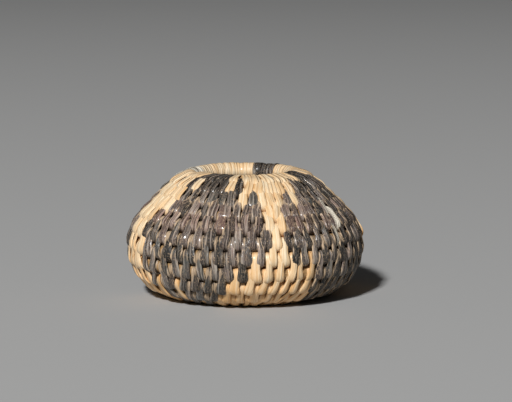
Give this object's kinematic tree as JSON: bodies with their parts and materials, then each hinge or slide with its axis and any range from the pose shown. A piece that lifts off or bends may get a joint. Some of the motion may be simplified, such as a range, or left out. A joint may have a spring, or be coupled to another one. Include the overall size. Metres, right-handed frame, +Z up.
{
  "type": "coiled basket",
  "caption": "Miniature coiled basket: a squat round globe with a drawn-in mouth, sewn in light and dark strands in a stepped leaf pattern.",
  "frame": {"origin": "on the ground, under the middle of the base", "axes": "+Z up through the mouth, -Y towards the front with the whole leaf patch at its left"},
  "size_m": [0.0242, 0.0242, 0.0128],
  "materials": {
    "light_strand": "split root, satin",
    "dark_strand": "dyed split root, satin",
    "rod_wood": "peeled shoot, matt"
  },
  "bodies": {
    "root": {"base_rod": "rod_wood", "belly_rod": "rod_wood", "dark_stitches_05": "dark_strand", "dark_stitches_06": "dark_strand", "dark_stitches_07": "dark_strand", "dark_stitches_08": "dark_strand", "dark_stitches_09": "dark_strand", "dark_stitches_10": "dark_strand", "dark_stitches_11": "dark_strand", "dark_stitches_12": "dark_strand", "dark_stitches_13": "dark_strand", "dark_stitches_14": "dark_strand", "dark_stitches_15": "dark_strand", "dark_stitches_16": "dark_strand", "foot_rod": "rod_wood", "light_stitches_01": "light_strand", "light_stitches_02": "light_strand", "light_stitches_03": "light_strand", "light_stitches_04": "light_strand", "light_stitches_05": "light_strand", "light_stitches_06": "light_strand", "light_stitches_07": "light_strand", "light_stitches_08": "light_strand", "light_stitches_09": "light_strand", "light_stitches_10": "light_strand", "light_stitches_11": "light_strand", "light_stitches_12": "light_strand", "light_stitches_13": "light_strand", "light_stitches_14": "light_strand", "light_stitches_15": "light_strand", "light_stitches_16": "light_strand", "rim_rod": "rod_wood", "shoulder_rod": "rod_wood", "start_knot": "light_strand"}
  },
  "joints": []
}
